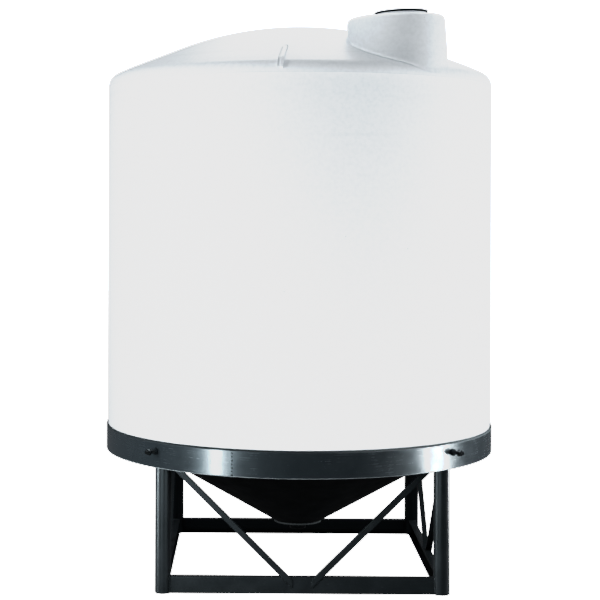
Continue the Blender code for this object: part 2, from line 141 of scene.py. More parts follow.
def machinery_enamel(name, colour, dust, roughness, level, streaks=0.0, scuff="#3a4144", rims=None):
    """Sprayed enamel on rolled steel: satin, a little uneven in gloss, with thin dust and small scuffs on it.

    Dust lies in clouds of about 110 mm, scuffs are flecks of about 12 mm, the orange peel is 2.4 mm. Streaks,
    from 0 to 1, are level marks of brush and rolls, 4 mm high and a quarter of a metre long. Rims are the
    heights of a bar's edges: a painted shadow of the gap above lies 11 mm deep under the upper one, and a
    painted highlight makes the lower one pale.
    """
    material, shader, place = new_material(name, Specular_IOR_Level=level, Specular_Tint=to_linear("#dcf4ff"))
    add = partial(add_node, material)
    cloud = add("TexNoise", {"Scale": 9.0, "Detail": 5.0, "Roughness": 0.6}, {"Vector": place})
    paint = add("Mix", {6: colour, 7: dust}, {0: cloud}, data_type="RGBA")
    fleck = add("TexNoise", {"Scale": 85.0, "Detail": 3.0, "Roughness": 0.7}, {"Vector": place})
    scuffed = add("MapRange", {1: 0.66, 2: 0.74, 4: 0.8}, {0: fleck})
    paint = add("Mix", {7: scuff}, {0: scuffed, 6: paint}, data_type="RGBA")
    stretch = add("Mapping", {"Scale": (4.0, 4.0, 240.0)}, {"Vector": place})
    streak = add("TexNoise", {"Scale": 1.0, "Detail": 4.0}, {"Vector": stretch})
    uneven = add("Mix", {0: streaks}, {2: cloud, 3: streak})
    gloss = add("MapRange", {1: 0.3, 2: 0.7, 3: roughness - 0.05, 4: roughness + 0.08}, {0: uneven})
    peel = add("TexNoise", {"Scale": 420.0, "Detail": 2.0}, {"Vector": place})
    grooves = add("Bump", {"Strength": 0.2 * streaks, "Distance": 0.0006}, {"Height": streak})
    bump = add("Bump", {"Strength": 0.12, "Distance": 0.0005}, {"Height": peel, "Normal": grooves})
    if rims:
        height = add("SeparateXYZ", links={0: place}).outputs["Z"]
        wander = add("Math", {1: RIM_WANDER}, {0: cloud}, operation="MULTIPLY")
        ragged = add("Math", links={0: height, 1: wander}, operation="ADD")
        # Painted shadow of the gap under the upper edge, and a painted highlight along the lower edge.
        painted_gap_shadow = add("MapRange", {1: rims[1] - GAP_SHADOW_FADE[0], 2: rims[1] - GAP_SHADOW_FADE[1]}, {0: ragged})
        painted_edge_highlight = add("MapRange", {1: rims[0] + EDGE_HIGHLIGHT_FADE[0], 2: rims[0] + EDGE_HIGHLIGHT_FADE[1]}, {0: ragged})
        paint = add("Mix", {7: "#8d979b"}, {0: painted_edge_highlight, 6: paint}, data_type="RGBA")
        paint = add("Mix", {7: "#050606"}, {0: painted_gap_shadow, 6: paint}, data_type="RGBA")
        gloss = add("Mix", {3: 0.95}, {0: painted_gap_shadow, 2: gloss})
    links = material.node_tree.links
    links.new(paint.outputs[2], shader.inputs["Base Color"])
    links.new(gloss.outputs[0], shader.inputs["Roughness"])
    links.new(bump.outputs[0], shader.inputs["Normal"])
    return material


STAND_ENAMEL = machinery_enamel("dark_grey_machinery_enamel", "#161b1d", "#24292c", 0.34, 0.15)
STAND_PAINT = (STAND_ENAMEL, "stand_paint")


def shell(points, loop=False):
    """Vertices and faces of a closed shell from a grid of points (rows, columns, 3); each row is a ring.

    The last row joins the first if loop is true; otherwise each end row gets one face, unless it is a pole.
    The faces are turned outwards by the sign of the volume between them and their middle.
    """
    rows, columns = points.shape[:2]
    row = np.arange(rows if loop else rows - 1)[:, None]
    here, above = row * columns, (row + 1) % rows * columns
    column = np.arange(columns)
    beside = (column + 1) % columns
    quads = np.stack([here + column, here + beside, above + beside, above + column], -1).reshape(-1, 4)
    flat = points.reshape(-1, 3)
    corner = flat[quads] - flat.mean(0)
    diagonal = np.cross(corner[:, 1] - corner[:, 3], corner[:, 2] - corner[:, 0])
    outwards = (corner.mean(1) * diagonal).sum() > 0
    faces = (quads if outwards else quads[:, ::-1]).tolist()
    if not loop:
        for ring, turned_back in ((column, outwards), (column + columns * (rows - 1), not outwards)):
            if np.ptp(flat[ring], axis=0).max() > MERGE_DISTANCE:
                faces.append((ring[::-1] if turned_back else ring).tolist())
    return flat, faces


def add_object(name, data):
    """An object in the scene with its mesh, light or camera."""
    made = bpy.data.objects.new(name, data)
    bpy.context.scene.collection.objects.link(made)
    return made


def make_piece(name, shells, finish, *nodes):
    """Joins shells into one piece that rides on the stand and may stand for CAD nodes.

    A shell is a grid, or a pair of a grid and its loop flag. A finish is a material and its slot; the slot is
    not used.
    """
    vertices, faces, count = [], [], 0
    for grid in shells:
        flat, own = shell(*grid) if isinstance(grid, tuple) else shell(grid)
        vertices.append(flat)
        faces += [[count + corner for corner in face] for face in own]
        count += len(flat)
    mesh = bpy.data.meshes.new(name)
    mesh.from_pydata(np.concatenate(vertices).tolist(), [], faces)
    model = bmesh.new()
    model.from_mesh(mesh)
    bmesh.ops.remove_doubles(model, verts=model.verts, dist=MERGE_DISTANCE)
    model.to_mesh(mesh)
    model.free()
    material, slot = finish
    mesh.materials.append(material)
    mesh.shade_smooth()
    mesh.set_sharp_from_angle(angle=SHARP_ANGLE)
    piece = add_object(name, mesh)
    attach(piece, "root")
    if nodes:
        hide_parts(*nodes)
    return piece


def full_turn(columns):
    """Angles at even steps once round."""
    return np.linspace(0.0, 2 * math.pi, columns, endpoint=False)


def cone_underside(x, y):
    """Height of the support cone's lower face over a point of the floor."""
    return CONE_APEX_Z + CONE_TAN * np.hypot(x, y)


def about_leg(side_x, side_y, radius):
    """x and y once round a leg's axis at a radius."""
    turn = full_turn(PIPE_COLUMNS)
    return side_x * LEG_REACH + radius * np.cos(turn), side_y * LEG_REACH + radius * np.sin(turn)


def pipe_leg(side_x, side_y):
    """Rings of a pipe: up its outer face, over the coped end at the cone's own height, and down its bore."""
    bore = PIPE_RADIUS - PIPE_WALL
    radius = np.array([PIPE_RADIUS - PIPE_EDGE, PIPE_RADIUS, PIPE_RADIUS, bore, bore])[:, None]
    coped = np.array([False, False, True, True, False])[:, None]
    x, y = about_leg(side_x, side_y, radius)
    z = np.where(coped, cone_underside(x, y) - FIT_GAP, 0.0)
    z[1] = PIPE_EDGE
    return np.stack([x, y, z], -1)


for corner, signs in CORNERS.items():
    make_piece("pipe_leg_" + corner, [(pipe_leg(*signs), True)], STAND_PAINT, "leg_" + corner)


# Floor beams: short channels on edge between the legs, backs outwards, their ends coped to the pipes.
# Hot rolled, so the outer edges are nearly sharp and the flanges have round toes.
CHANNEL_WALL = 0.006
CHANNEL_HEEL = 0.0018
CHANNEL_TOE = 0.0030
CHANNEL_FILLET = 0.0060
OUTLINE_STEP = 0.004
beam_low, beam_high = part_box("base_beam_front")
BEAM_HEIGHT = beam_high.z
BEAM_HALF_WIDTH = (beam_high.y - beam_low.y) / 2
SIDES = {"front": (0, -1), "rear": (0, 1), "left": (-1, 0), "right": (1, 0)}
UP = np.array([0.0, 0.0, 1.0])


def unit(vectors):
    """Vectors brought to length 1."""
    return vectors / np.linalg.norm(vectors, axis=-1, keepdims=True)


def rounded(corners, radii, steps=5):
    """Closed outline with round corners: at each corner an arc of its radius, tangent to both edges.

    Straight stretches are divided into short ones, so that a curved cut can follow them.
    """
    corners = np.array(corners, float)
    points = []
    for here, radius, before, after in zip(corners, radii, np.roll(corners, 1, 0), np.roll(corners, -1, 0)):
        back = (before - here) / np.linalg.norm(before - here)
        on = (after - here) / np.linalg.norm(after - here)
        half = math.acos(np.clip(back @ on, -1, 1)) / 2
        centre = here + (back + on) / np.linalg.norm(back + on) * radius / math.sin(half)
        first = here + back * radius / math.tan(half) - centre
        last = here + on * radius / math.tan(half) - centre
        share = np.linspace(0.0, 1.0, steps)[:, None]
        points.append(centre + unit(first * (1 - share) + last * share) * radius)
    points = np.concatenate(points)
    dense = []
    for here, after in zip(points, np.roll(points, -1, 0)):
        parts = max(1, math.ceil(np.linalg.norm(after - here) / OUTLINE_STEP))
        dense.append(here + (after - here) * np.arange(parts)[:, None] / parts)
    return np.concatenate(dense)


def side_frame(side):
    """Unit vectors of a side of the stand: outwards, and along it to the left of one who looks outwards."""
    outward = np.array([*SIDES[side], 0.0])
    return outward, np.cross(UP, outward)


def channel_beam(side):
    """The channel's outline at both ends; each point ends where its line meets the pipe's cylinder."""
    half, web = BEAM_HALF_WIDTH, BEAM_HALF_WIDTH - CHANNEL_WALL
    outline = rounded(
        [(half, 0.0), (half, BEAM_HEIGHT), (-half, BEAM_HEIGHT), (-half, BEAM_HEIGHT - CHANNEL_WALL),
         (web, BEAM_HEIGHT - CHANNEL_WALL), (web, CHANNEL_WALL), (-half, CHANNEL_WALL), (-half, 0.0)],
        [CHANNEL_HEEL, CHANNEL_HEEL, FIT_GAP, CHANNEL_TOE,
         CHANNEL_FILLET, CHANNEL_FILLET, CHANNEL_TOE, FIT_GAP],
    )
    outward, along = side_frame(side)
    reach = LEG_REACH - np.sqrt((PIPE_RADIUS + FIT_GAP) ** 2 - outline[:, 0] ** 2)
    base = outward * (LEG_REACH + outline[:, :1]) + UP * outline[:, 1:]
    return np.stack([base - along * reach[:, None], base + along * reach[:, None]])


for side in SIDES:
    make_piece("channel_beam_" + side, [channel_beam(side)], STAND_PAINT, "base_beam_" + side)


# Braces: 1.25 inch rolled angle from each leg down to the middle of the beam, two to a side. The flat flange
# laps on the beam's back and is cut plumb; the other points inwards along the high edge and stops on its top.
ANGLE_SIZE = 0.032
ANGLE_WALL = 0.005
ANGLE_HEEL = 0.0012
ANGLE_TOE = 0.0030
ANGLE_FILLET = 0.0045
BRACE_FOOT = 0.056
BRACE_RISE = 0.762
BRACE_SLOPE = math.atan2(BRACE_RISE, LEG_REACH)
BRACE_FACE = LEG_REACH + BEAM_HALF_WIDTH + FIT_GAP
WAYS = (-1, 1)
BRACE_ENDS = {
    "front": ("left", "right"), "rear": ("right", "left"),
    "left": ("rear", "front"), "right": ("front", "rear"),
}


def brace_point(side, way, reach, across, depth):
    """Point of a brace: reach from the stand's middle, across its slope, depth out from the beam's back."""
    outward, along = side_frame(side)
    height = reach * math.tan(BRACE_SLOPE) + across / math.cos(BRACE_SLOPE)
    return way * along * reach[..., None] + outward * (BRACE_FACE + depth)[..., None] + UP * height[..., None]


def angle_brace(side, way):
    """The angle's outline at both ends: plumb or on the beam's top below, on the pipe's cylinder above."""
    half, inner = ANGLE_SIZE / 2, ANGLE_WALL - ANGLE_SIZE
    across, depth = rounded(
        [(-half, ANGLE_WALL), (half, ANGLE_WALL), (half, inner),
         (half - ANGLE_WALL, inner), (half - ANGLE_WALL, 0.0), (-half, 0.0)],
        [ANGLE_TOE, ANGLE_HEEL, FIT_GAP, ANGLE_TOE, ANGLE_FILLET, FIT_GAP],
    ).T
    on_beam = (BEAM_HEIGHT + FIT_GAP - across / math.cos(BRACE_SLOPE)) / math.tan(BRACE_SLOPE)
    foot = np.where(depth < -FIT_GAP, np.maximum(on_beam, BRACE_FOOT), BRACE_FOOT)
    out = BRACE_FACE + depth - LEG_REACH
    head = LEG_REACH - np.sqrt((PIPE_RADIUS + FIT_GAP) ** 2 - out ** 2)
    return np.stack([brace_point(side, way, end, across, depth) for end in (foot, head)])


for side, ends in BRACE_ENDS.items():
    for way, end in zip(WAYS, ends):
        name = side + "_" + end
        make_piece("angle_brace_" + name, [angle_brace(side, way)], STAND_PAINT, "brace_" + name)


# Welds of the stand: single fillets laid by hand, so they ripple about every 4 mm, and sprayed over.
# They join beams and braces to the pipes, the braces' feet to the beams and the pipes to the support cone.
BEAD_RADIUS = 0.0042
SMALL_BEAD = 0.0030
HEAD_BEAD = 0.0035
BEAD_RIPPLE = 0.0042
BEAD_STEP = 0.0011
BEAD_COLUMNS = 12
BEAD_DEPTH = 0.14
BEAD_LEAST_STEPS = 8
BEAD_SKEW = (0.31, 0.43, 0.85)
FLANGE_POINTS = 9
HEAD_POINTS = 5


def run_along(points):
    """How far along a line each of its points lies."""
    return np.concatenate([[0.0], np.cumsum(np.linalg.norm(np.diff(points, axis=0), axis=1))])


def weld_bead(corners, radius=BEAD_RADIUS, loop=False):
    """A round bead along a line: rings about the line, whose radius rises and falls with each ripple.

    The line goes through the corners at even steps. An open bead tapers to a point at both ends.
    """
    corners = np.array(corners, float)
    if loop:
        corners = np.concatenate([corners, corners[:1]])
    run = run_along(corners)
    steps = max(BEAD_LEAST_STEPS, round(run[-1] / BEAD_STEP))
    reach = np.linspace(0.0, run[-1], steps, endpoint=not loop)
    line = np.stack([np.interp(reach, run, corners[:, axis]) for axis in range(3)], -1)
    ahead = unit(np.roll(line, -1, 0) - np.roll(line, 1, 0) if loop else np.gradient(line, axis=0))
    aside = unit(np.cross(ahead, BEAD_SKEW))
    above = np.cross(ahead, aside)
    wave = (reach / BEAD_RIPPLE) % 1.0
    size = radius * (1.0 - BEAD_DEPTH * (2 * wave - 1) ** 2)
    if not loop:
        size *= np.sqrt(np.clip(np.minimum(reach, run[-1] - reach) / radius, 0.0, 1.0))
    turn = full_turn(BEAD_COLUMNS)[:, None]
    ring = np.cos(turn) * aside[:, None, :] + np.sin(turn) * above[:, None, :]
    return line[:, None, :] + ring * size[:, None, None], loop


def leg_weld(side_x, side_y):
    """The saddle weld between a pipe and the cone."""
    x, y = about_leg(side_x, side_y, PIPE_RADIUS)
    return weld_bead(np.stack([x, y, cone_underside(x, y)], -1), loop=True)


def beam_weld(side, way):
    """Up the channel's back where it meets the pipe, then across its top flange along the cope."""
    outward, along = side_frame(side)
    flange = np.linspace(BEAM_HALF_WIDTH, -BEAM_HALF_WIDTH, FLANGE_POINTS)
    out = np.concatenate([[BEAM_HALF_WIDTH, BEAM_HALF_WIDTH], flange])
    height = np.concatenate([[BEAD_RADIUS, BEAM_HEIGHT], np.full(FLANGE_POINTS, BEAM_HEIGHT)])
    reach = LEG_REACH - np.sqrt(PIPE_RADIUS ** 2 - out ** 2)
    line = outward * (LEG_REACH + out)[:, None] + way * along * reach[:, None]
    return weld_bead(line + UP * height[:, None])


def brace_welds(side, way):
    """Three beads of a brace: up its plumb end, along its low edge on the beam's back, across its head."""
    half, on_back = ANGLE_SIZE / 2, np.zeros(2)
    beam_top = (BEAM_HEIGHT + half / math.cos(BRACE_SLOPE)) / math.tan(BRACE_SLOPE)
    foot = np.array([BRACE_FOOT, BRACE_FOOT])
    plumb = brace_point(side, way, foot, np.array([-half + SMALL_BEAD, half - 2 * SMALL_BEAD]), on_back)
    low = brace_point(side, way, np.array([BRACE_FOOT, beam_top]), np.array([-half, -half]), on_back)
    out = BRACE_FACE + ANGLE_WALL / 2 - LEG_REACH
    head = np.full(HEAD_POINTS, LEG_REACH - math.sqrt(PIPE_RADIUS ** 2 - out ** 2))
    across = np.linspace(-half, half, HEAD_POINTS)
    top = brace_point(side, way, head, across, np.full(HEAD_POINTS, ANGLE_WALL / 2))
    return [weld_bead(plumb, SMALL_BEAD), weld_bead(low, SMALL_BEAD), weld_bead(top, HEAD_BEAD)]


for side in SIDES:
    beads = []
    for way in WAYS:
        beads.append(beam_weld(side, way))
        beads += brace_welds(side, way)
    make_piece("welds_" + side, beads, STAND_PAINT)
make_piece("welds_under_cone", [leg_weld(*signs) for signs in CORNERS.values()], STAND_PAINT)


# Support cone: 5 mm sheet rolled to a cone and sprayed with flat black primer. A flat bar is rolled and
# welded round its mouth; handling has worn the primer on it to grey, and that grey is made lighter still as a
# painted highlight of the band's lit edge.
SHEET = 0.005
CONE_COLUMNS = 256
BAND_THICKNESS = 0.006
BAND_EDGE = 0.0012
PRIMER = machinery_enamel("flat_black_primer", "#010101", "#030303", 0.60, 0.04, scuff="#060606")
# Worn grey primer on the mouth band, made lighter as a painted highlight of its lit edge.
BAND_PRIMER_AND_PAINTED_HIGHLIGHT = machinery_enamel("worn_black_primer", "#1c1f20", "#5a6062", 0.34, 0.6, scuff="#7d8588")


def turned(outline, azimuths=full_turn(CONE_COLUMNS)):
    """Turns an outline of (radius, height) points about the centre line: row i is the path of point i."""
    outline = np.array(outline, float)
    radius, height = outline[:, :1], np.repeat(outline[:, 1:], len(azimuths), 1)
    return np.stack([radius * np.sin(azimuths), -radius * np.cos(azimuths), height], -1)


sheet_rise = SHEET / math.cos(CONE_SLOPE)
cone_ends = ((MOUTH_RADIUS, 0.0), (cone_high.x, 0.0), (cone_high.x, sheet_rise), (MOUTH_RADIUS, sheet_rise))
cone_outline = [(radius, CONE_APEX_Z + CONE_TAN * radius + rise) for radius, rise in cone_ends]
make_piece("sheet_cone", [(turned(cone_outline), True)], (PRIMER, "cone_paint"), "support_cone")
band_low, band_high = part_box("support_cone_collar")
band_outline = rounded(
    [(MOUTH_RADIUS, band_low.z), (MOUTH_RADIUS + BAND_THICKNESS, band_low.z),
     (MOUTH_RADIUS + BAND_THICKNESS, band_high.z), (MOUTH_RADIUS, band_high.z - CONE_TAN * BAND_THICKNESS)],
    [BAND_EDGE, BAND_EDGE, FIT_GAP, FIT_GAP],
)
make_piece("mouth_band", [(turned(band_outline), True)], (BAND_PRIMER_AND_PAINTED_HIGHLIGHT, "cone_paint"), "support_cone_collar")


# Ring band: two lengths of 6 inch flat bar rolled to the tank's round and joined at the front left and behind
# with short runs of weld, primed black, whose black is also painted shade of the seam's recesses. Its enamel
# is glossier than the stand's, with long fine brush marks.
RING_THICKNESS = 0.0065
RING_EDGE = 0.0012
RING_SEAM = math.radians(-19.6)
SEAM_START = 0.0020
SEAM_PITCH = 0.0195
SEAM_RUN = 0.0130
SEAM_BEAD = 0.0080
SEAM_SINK = 0.0040
RING_STEPS = 160
ring_low, ring_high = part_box("ring_band_left")
RING_RADIUS = cad_box[1].x
# The band's enamel has a painted shadow of the gap to the tank along its top edge and a painted highlight
# along its bottom edge.
RING_PAINT = (machinery_enamel(
    "glossy_grey_green_enamel", "#1c2327", "#262d31", 0.23, 0.45, streaks=0.45, scuff="#384146",
    rims=(ring_low.z, ring_high.z),
), "ring_paint")


def rolled_band(seam):
    """The bar's outline carried round half a turn from a seam: each row is the outline at one azimuth."""
    inner = RING_RADIUS - RING_THICKNESS
    outline = rounded(
        [(inner, ring_low.z), (RING_RADIUS, ring_low.z), (RING_RADIUS, ring_high.z), (inner, ring_high.z)],
        [RING_EDGE] * 4,
        steps=4,
    )
    gap = FIT_GAP / 2 / RING_RADIUS
    return turned(outline, np.linspace(seam + gap, seam + math.pi - gap, RING_STEPS)).swapaxes(0, 1)


seams = []
for half_name, azimuth in (("right", RING_SEAM), ("left", RING_SEAM + math.pi)):
    make_piece("rolled_band_" + half_name, [rolled_band(azimuth)], RING_PAINT, "ring_band_" + half_name)
    spot = np.array([math.sin(azimuth), -math.cos(azimuth)]) * (RING_RADIUS - SEAM_SINK)
    for run_start in np.arange(ring_low.z + SEAM_START, ring_high.z - SEAM_RUN, SEAM_PITCH):
        seams.append(weld_bead([(*spot, run_start), (*spot, run_start + SEAM_RUN)], SEAM_BEAD))
# The seam's beads are black primer, which also stands as painted shade of the seam's recesses.
make_piece("ring_seam_welds", seams, (PRIMER, "ring_paint"))


# Ring bolts: a round boss welded on the band over each leg, with a threaded stud through it, and a washer
# and a hexagon nut near the stud's end. Zinc plated, with overspray of the enamel on the bosses.
BOLT_COLUMNS = 48
STUD_RADIUS = 0.0095
STUD_LENGTH = 0.075
STUD_Z = 0.790
STUD_TURN = math.radians(0.5)
THREAD_PITCH = 0.0025
THREAD_DEPTH = 0.0012
THREAD_ROWS = 6
BOSS_RADIUS = 0.019
BOSS_LENGTH = 0.014
BOSS_EDGE = 0.0008
WASHER_RADIUS = 0.0185
WASHER_START = 0.044
WASHER_THICKNESS = 0.003
WASHER_END = WASHER_START + WASHER_THICKNESS
WASHER_EDGE = 0.0004
NUT_RADIUS = 0.0143
NUT_HEIGHT = 0.016
NUT_ROWS = (0.0, 0.0004, 0.0012, 0.0020, 0.0028)
NUT_FACE = NUT_RADIUS * 0.96
NUT_CHAMFER = math.radians(60.0)
ZINC_PLATE = new_material("zinc_plate", Base_Color=to_linear("#565c5e"), Metallic=1.0, Roughness=0.30)[0]
ZINC = (ZINC_PLATE, "zinc_steel")


def bolt_grid(signs, distance, radius):
    """Rings about a bolt's own axis: distance out from the band and radius, both arrays (rows, columns)."""
    turn = full_turn(BOLT_COLUMNS)[:, None]
    angle = math.atan2(signs[1], signs[0]) + STUD_TURN
    radial = np.array([math.cos(angle), math.sin(angle), 0.0])
    ring = np.cross(UP, radial) * np.cos(turn) + UP * np.sin(turn)
    return radial * (RING_RADIUS + distance[..., None]) + UP * STUD_Z + ring * radius[..., None]


def plain_rings(signs, section):
    """A turned part of a bolt from (distance, radius) points."""
    distance, radius = np.array(section).T[..., None] * np.ones(BOLT_COLUMNS)
    return bolt_grid(signs, distance, radius)


def threaded_stud(signs):
    """The stud: its radius is a triangle wave of the distance less one pitch a turn, fading at the end."""
    rows = round(STUD_LENGTH / THREAD_PITCH * THREAD_ROWS)
    distance = np.linspace(0.0, STUD_LENGTH, rows)[:, None] * np.ones(BOLT_COLUMNS)
    wave = np.abs(((distance / THREAD_PITCH - np.arange(BOLT_COLUMNS) / BOLT_COLUMNS) % 1.0) * 2 - 1)
    end = STUD_RADIUS - THREAD_DEPTH + (STUD_LENGTH - distance)
    return bolt_grid(signs, distance, np.minimum(STUD_RADIUS - THREAD_DEPTH * wave, end))


def hexagon_nut(signs):
    """The nut: a hexagon's radius at each turn, cut down near both faces by a cone of 30 degrees."""
    depth = np.array(NUT_ROWS)
    height = np.concatenate([depth, NUT_HEIGHT - depth[::-1]])[:, None]
    flat = (full_turn(BOLT_COLUMNS) + math.pi / 6) % (math.pi / 3) - math.pi / 6
    from_face = np.minimum(height, NUT_HEIGHT - height)
    radius = np.minimum(NUT_RADIUS / np.cos(flat), NUT_FACE + from_face * math.tan(NUT_CHAMFER))
    return bolt_grid(signs, WASHER_END + height * np.ones(BOLT_COLUMNS), radius)


for corner, signs in CORNERS.items():
    boss = plain_rings(signs, [
        (0.0, BOSS_RADIUS), (BOSS_LENGTH - BOSS_EDGE, BOSS_RADIUS), (BOSS_LENGTH, BOSS_RADIUS - BOSS_EDGE),
    ])
    washer = plain_rings(signs, [
        (WASHER_START, WASHER_RADIUS - WASHER_EDGE), (WASHER_START + WASHER_EDGE, WASHER_RADIUS),
        (WASHER_END - WASHER_EDGE, WASHER_RADIUS), (WASHER_END, WASHER_RADIUS - WASHER_EDGE),
    ])
    stud = [threaded_stud(signs), washer, hexagon_nut(signs)]
    make_piece("ring_stud_" + corner, stud, ZINC, "ring_bolt_" + corner)
    make_piece("stud_boss_" + corner, [boss], RING_PAINT)


# Bottom outlet: a flanged fitting of black polypropylene under the tank's sump, its bore open for a valve.
# It is moulded in one piece, so its edges are round.
OUTLET_COLUMNS = 128
OUTLET_BORE = 0.026
OUTLET_BODY = 0.048
OUTLET_FLANGE = 0.075
OUTLET_FLANGE_THICKNESS = 0.016
OUTLET_EDGE = 0.003
outlet_low, outlet_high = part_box("outlet_fitting")
BLACK_PLASTIC = (
    machinery_enamel("moulded_black_polypropylene", "#050505", "#0a0a0a", 0.42, 0.25, scuff="#131313"),
    "black_plastic",
)
flange_low = outlet_high.z - OUTLET_FLANGE_THICKNESS
outlet_outline = rounded(
    [(OUTLET_BORE, outlet_high.z), (OUTLET_BORE, outlet_low.z), (OUTLET_BODY, outlet_low.z),
     (OUTLET_BODY, flange_low), (OUTLET_FLANGE, flange_low), (OUTLET_FLANGE, outlet_high.z)],
    [FIT_GAP, OUTLET_EDGE, OUTLET_EDGE, OUTLET_EDGE, OUTLET_EDGE, FIT_GAP],
)
outlet_grid = turned(outlet_outline, full_turn(OUTLET_COLUMNS))
make_piece("outlet_body", [(outlet_grid, True)], BLACK_PLASTIC, "outlet_fitting")


# Tank shell: natural white polyethylene, moulded in one piece in an oven from powder, so every edge is round.
# The mould's parting line runs round it at the top of the wall, and the skin is satin and slightly uneven.
SHELL_THICKNESS = 0.010
SHELL_TURN = full_turn(320)
SHOULDER_RADIUS = 0.080
SHOULDER_ROWS = 25
ROOF_SLOPE = math.radians(21.6)
SLOPE_ROWS = 16
CROWN_START = 0.740
CROWN_ROWS = 33
EASE_DEPTH = 0.0030
EASE_RUN = 0.045
EASE_REACH = 2.5
TANK_CORNER = 0.030
CORNER_ROWS = 9
WALL_ROWS = 41
SUMP_RADIUS = 0.124
SUMP_BORE = OUTLET_BORE + 0.004
PARTING_WIDTH = 0.0030
PARTING_PROUD = 0.0006
PARTING_GRIME = 0.6
wall_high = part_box("tank_wall")[1]
TANK_RADIUS = wall_high.x
WALL_TOP = wall_high.z + FIT_GAP
TANK_APEX_Z = CONE_APEX_Z + sheet_rise + FIT_GAP
SUMP_Z = TANK_APEX_Z + CONE_TAN * SUMP_RADIUS


def moulded_polyethylene():
    """Rotationally moulded polyethylene: a cool, milky white with a satin skin.

    The skin undulates a little over half a metre, has an orange peel of 7 mm, is faintly mottled at 20 mm,
    and holds a few specks of burnt powder and level marks where the powder settled in the turning mould.
    """
    material, shader, place = new_material(
        "natural_white_polyethylene", Roughness=0.46, Specular_IOR_Level=0.45, IOR=1.51
    )
    add = partial(add_node, material)
    grid = add("TexVoronoi", {"Scale": 9.0}, {"Vector": place}, feature="F1")
    speck_size = add("SeparateColor", links={0: grid.outputs["Color"]})
    rare = add("MapRange", {1: 0.72, 2: 1.0, 3: 0.0, 4: 0.040}, {0: speck_size})
    speck = add("Math", links={0: grid.outputs["Distance"], 1: rare}, operation="LESS_THAN")
    stretch = add("Mapping", {"Scale": (0.9, 0.9, 26.0)}, {"Vector": place})
    level_noise = add("TexNoise", {"Scale": 1.0, "Detail": 4.0}, {"Vector": stretch})
    level_mark = add("MapRange", {1: 0.58, 2: 0.74, 4: 0.55}, {0: level_noise})
    white = add("Mix", {6: "#e2e9ee", 7: "#d3dade"}, {0: level_mark}, data_type="RGBA")
    white = add("Mix", {7: "#8d9496"}, {0: speck, 6: white}, data_type="RGBA")
    mottle_noise = add("TexNoise", {"Scale": 48.0, "Detail": 3.0}, {"Vector": place})
    mottle = add("MapRange", {1: 0.38, 2: 0.68, 4: 0.35}, {0: mottle_noise})
    white = add("Mix", {7: "#c6ced2"}, {0: mottle, 6: white}, data_type="RGBA")
    # This attribute darkens the skin: dirt along the parting line, and painted shade in the ribs' grooves and
    # behind their stops.
    grime = add("Attribute", attribute_name="grime").outputs["Fac"]
    white = add("Mix", {7: "#a0a8ac"}, {0: grime, 6: white}, data_type="RGBA")
    swell = add("TexNoise", {"Scale": 2.2, "Detail": 2.0, "Roughness": 0.4}, {"Vector": place})
    skin = add("TexNoise", {"Scale": 140.0, "Detail": 3.0, "Roughness": 0.6}, {"Vector": place})
    uneven = add("Bump", {"Strength": 0.45, "Distance": 0.005}, {"Height": swell})
    peel = add("Bump", {"Strength": 0.35, "Distance": 0.0008}, {"Height": skin, "Normal": uneven})
    links = material.node_tree.links
    links.new(white.outputs[2], shader.inputs["Base Color"])
    links.new(peel.outputs[0], shader.inputs["Normal"])
    return material


POLYETHYLENE = (moulded_polyethylene(), "polyethylene")


def arc(centre, radius, first, last, steps):
    """Points of an arc in the (radius, height) plane, at angles from the outward direction."""
    angle = np.linspace(first, last, steps)
    return np.array(centre) + radius * np.stack([np.cos(angle), np.sin(angle)], -1)


def vertex_places(piece):
    """A piece's vertices, as an array (vertices, 3)."""
    points = np.empty(len(piece.data.vertices) * 3)
    piece.data.vertices.foreach_get("co", points)
    return points.reshape(-1, 3)


def lay_grime_and_painted_shade(piece, grime):
    """Gives a piece its grime and painted shade, from 0 to 1 at each vertex, for the moulded skin to show."""
    piece.data.attributes.new("grime", "FLOAT", "POINT").data.foreach_set("value", grime)


corner_z = TANK_APEX_Z + CONE_TAN * TANK_RADIUS
corner_centre = (TANK_RADIUS - TANK_CORNER, corner_z + TANK_CORNER * math.tan((math.pi / 2 - CONE_SLOPE) / 2))
cone_tangent = CONE_SLOPE - math.pi / 2
wall_heights = np.linspace(corner_centre[1], WALL_TOP - PARTING_WIDTH, WALL_ROWS)[1:]
wall_outer = np.concatenate([
    arc(corner_centre, TANK_CORNER, cone_tangent, 0.0, CORNER_ROWS),
    np.stack([np.full(len(wall_heights), TANK_RADIUS), wall_heights], -1),
    [(TANK_RADIUS + PARTING_PROUD, WALL_TOP - PARTING_WIDTH / 3), (TANK_RADIUS, WALL_TOP)],
])
wall_inner = np.concatenate([
    [(TANK_RADIUS - SHELL_THICKNESS, WALL_TOP)],
    arc(corner_centre, TANK_CORNER - SHELL_THICKNESS, 0.0, cone_tangent, CORNER_ROWS),
])
wall_section = np.concatenate([wall_outer, wall_inner])
wall = make_piece("moulded_wall", [(turned(wall_section, SHELL_TURN), True)], POLYETHYLENE, "tank_wall")
lay_grime_and_painted_shade(wall, PARTING_GRIME * (vertex_places(wall)[:, 2] > WALL_TOP - PARTING_WIDTH / 2))
sump_inside = SUMP_Z + SHELL_THICKNESS
cone_section = [
    tuple(wall_outer[0]), (SUMP_RADIUS, SUMP_Z), (SUMP_BORE, SUMP_Z), (SUMP_BORE, sump_inside),
    (SUMP_RADIUS + SHELL_THICKNESS * math.tan(CONE_SLOPE / 2), sump_inside), tuple(wall_inner[-1]),
]
make_piece("moulded_cone", [(turned(cone_section, SHELL_TURN), True)], POLYETHYLENE, "tank_cone_bottom")


